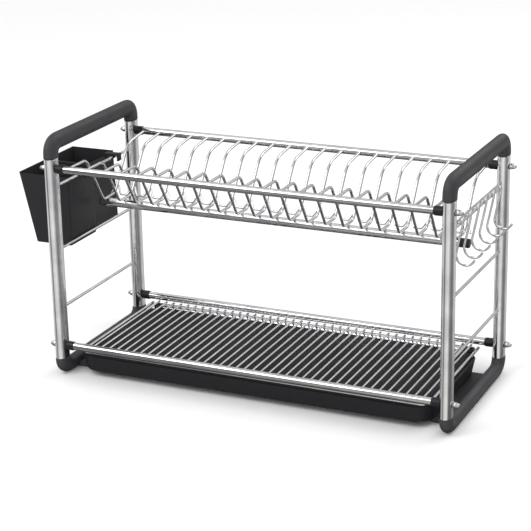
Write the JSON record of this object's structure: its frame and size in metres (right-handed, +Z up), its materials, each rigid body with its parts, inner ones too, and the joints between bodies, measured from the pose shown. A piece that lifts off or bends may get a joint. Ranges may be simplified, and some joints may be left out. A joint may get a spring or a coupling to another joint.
{
  "type": "two-tier dish drying rack",
  "caption": "Two-tier countertop dish drying rack with a wire plate rack, wire shelf, drip tray, hanging cutlery box and cup hooks on a chrome tube frame.",
  "frame": {"origin": "on the ground under the middle of the whole rack", "axes": "+Z up, +X along the rack towards the cup hooks, +Y from the front to the rear"},
  "size_m": [0.6393, 0.2412, 0.33],
  "materials": {
    "frame_plastic": "fine-grained charcoal moulded plastic",
    "tray_plastic": "smooth satin charcoal plastic",
    "box_plastic": "satin charcoal plastic",
    "bushing_plastic": "black moulded plastic",
    "upright_chrome": "polished chrome plate with fine drawn lines",
    "tube_chrome": "polished chrome plate",
    "wire_chrome": "chrome-plated steel wire",
    "bright_zinc": "bright zinc-plated steel"
  },
  "bodies": {
    "frame": {"front_left_upright": "upright_chrome", "front_right_upright": "upright_chrome", "left_handle": "frame_plastic", "left_lower_cross_rod": "wire_chrome", "left_middle_cross_rod": "wire_chrome", "left_runner": "frame_plastic", "left_upper_cross_rod": "wire_chrome", "lower_front_left_bushing": "bushing_plastic", "lower_front_left_cap_nut": "bright_zinc", "lower_front_left_washer": "bright_zinc", "lower_front_rail": "tube_chrome", "lower_front_right_bushing": "bushing_plastic", "lower_front_right_cap_nut": "bright_zinc", "lower_front_right_washer": "bright_zinc", "lower_front_tie_rod": "bright_zinc", "lower_rear_left_bushing": "bushing_plastic", "lower_rear_left_cap_nut": "bright_zinc", "lower_rear_left_washer": "bright_zinc", "lower_rear_rail": "tube_chrome", "lower_rear_right_bushing": "bushing_plastic", "lower_rear_right_cap_nut": "bright_zinc", "lower_rear_right_washer": "bright_zinc", "lower_rear_tie_rod": "bright_zinc", "lower_shelf": "wire_chrome", "lower_shelf_tube": "tube_chrome", "lower_shelf_tube_left_cap": "bushing_plastic", "lower_shelf_tube_right_cap": "bushing_plastic", "plate_rack": "wire_chrome", "plate_rack_tube": "tube_chrome", "plate_rack_tube_left_cap": "bushing_plastic", "plate_rack_tube_right_cap": "bushing_plastic", "rear_left_upright": "upright_chrome", "rear_right_upright": "upright_chrome", "right_handle": "frame_plastic", "right_lower_cross_rod": "wire_chrome", "right_middle_cross_rod": "wire_chrome", "right_runner": "frame_plastic", "right_upper_cross_rod": "wire_chrome", "upper_front_left_bushing": "bushing_plastic", "upper_front_left_cap_nut": "bright_zinc", "upper_front_left_washer": "bright_zinc", "upper_front_rail": "tube_chrome", "upper_front_right_bushing": "bushing_plastic", "upper_front_right_cap_nut": "bright_zinc", "upper_front_right_washer": "bright_zinc", "upper_front_tie_rod": "bright_zinc", "upper_rear_left_bushing": "bushing_plastic", "upper_rear_left_cap_nut": "bright_zinc", "upper_rear_left_washer": "bright_zinc", "upper_rear_rail": "tube_chrome", "upper_rear_right_bushing": "bushing_plastic", "upper_rear_right_cap_nut": "bright_zinc", "upper_rear_right_washer": "bright_zinc", "upper_rear_tie_rod": "bright_zinc"},
    "drip_tray": {"drip_tray": "tray_plastic"},
    "cutlery_box": {"cutlery_box": "box_plastic"},
    "cup_hook_rack": {"cup_hook_rack": "wire_chrome"}
  },
  "joints": [
    {"name": "drip_tray_slide", "type": "slide", "parent": "frame", "child": "drip_tray", "axis": [0, -1, 0], "range_m": [0, 0.2]},
    {"name": "cutlery_box_lift", "type": "slide", "parent": "frame", "child": "cutlery_box", "axis": [-0.3746, 0, 0.9272], "range_m": [0, 0.18]},
    {"name": "cup_hook_swing", "type": "hinge", "parent": "frame", "child": "cup_hook_rack", "pos_m": [0.29906, 0, 0.259], "axis": [0, -1, 0], "range_deg": [0, 70]}
  ]
}
